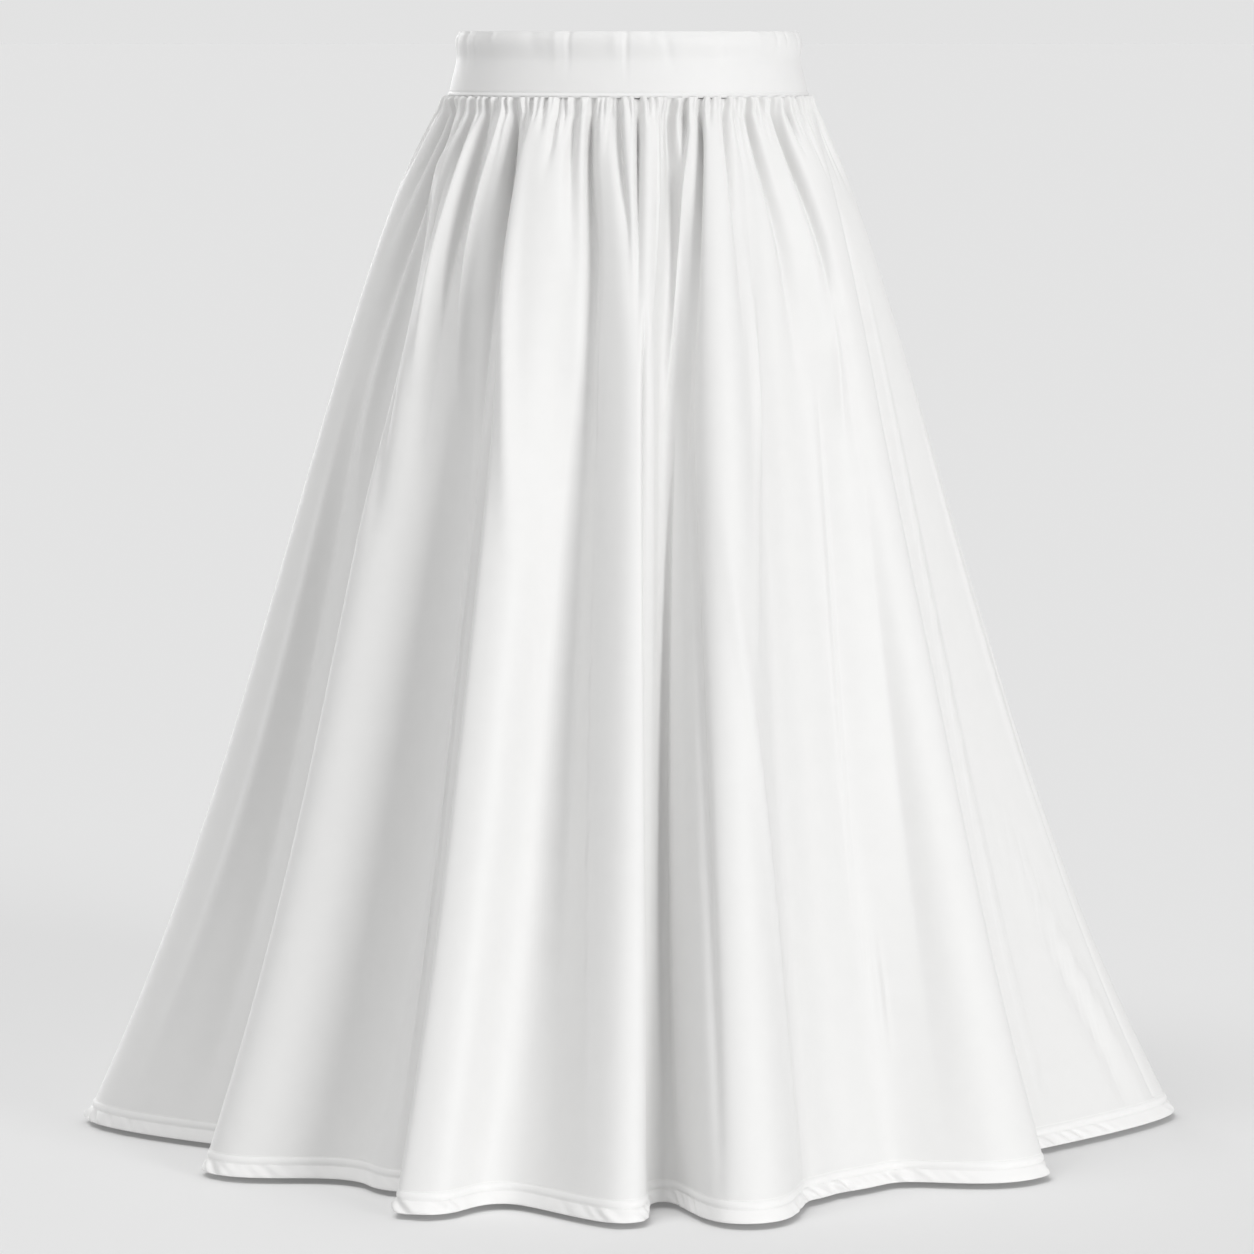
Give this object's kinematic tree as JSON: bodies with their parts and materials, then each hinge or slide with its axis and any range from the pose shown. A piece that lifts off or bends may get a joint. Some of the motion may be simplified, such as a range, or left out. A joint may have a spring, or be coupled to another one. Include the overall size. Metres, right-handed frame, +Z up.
{
  "type": "maxi skirt",
  "caption": "Full-length flared jersey skirt with an elastic waistband, gathered waist and turned-up hem, filled out as worn and open at waist and hem.",
  "frame": {"origin": "the middle of the waistband's top edge, where the wearer holds the skirt up", "axes": "+Z up, +X to the right of someone who looks at the front, the front faces -Y"},
  "size_m": [0.9686, 0.8826, 0.9611],
  "materials": {
    "waistband_jersey": "white stretch jersey doubled over elastic, soft satin sheen",
    "panel_jersey": "white stretch jersey, soft satin sheen"
  },
  "bodies": {
    "root": {"waistband": "waistband_jersey", "front_panel": "panel_jersey", "back_panel": "panel_jersey"}
  },
  "joints": []
}
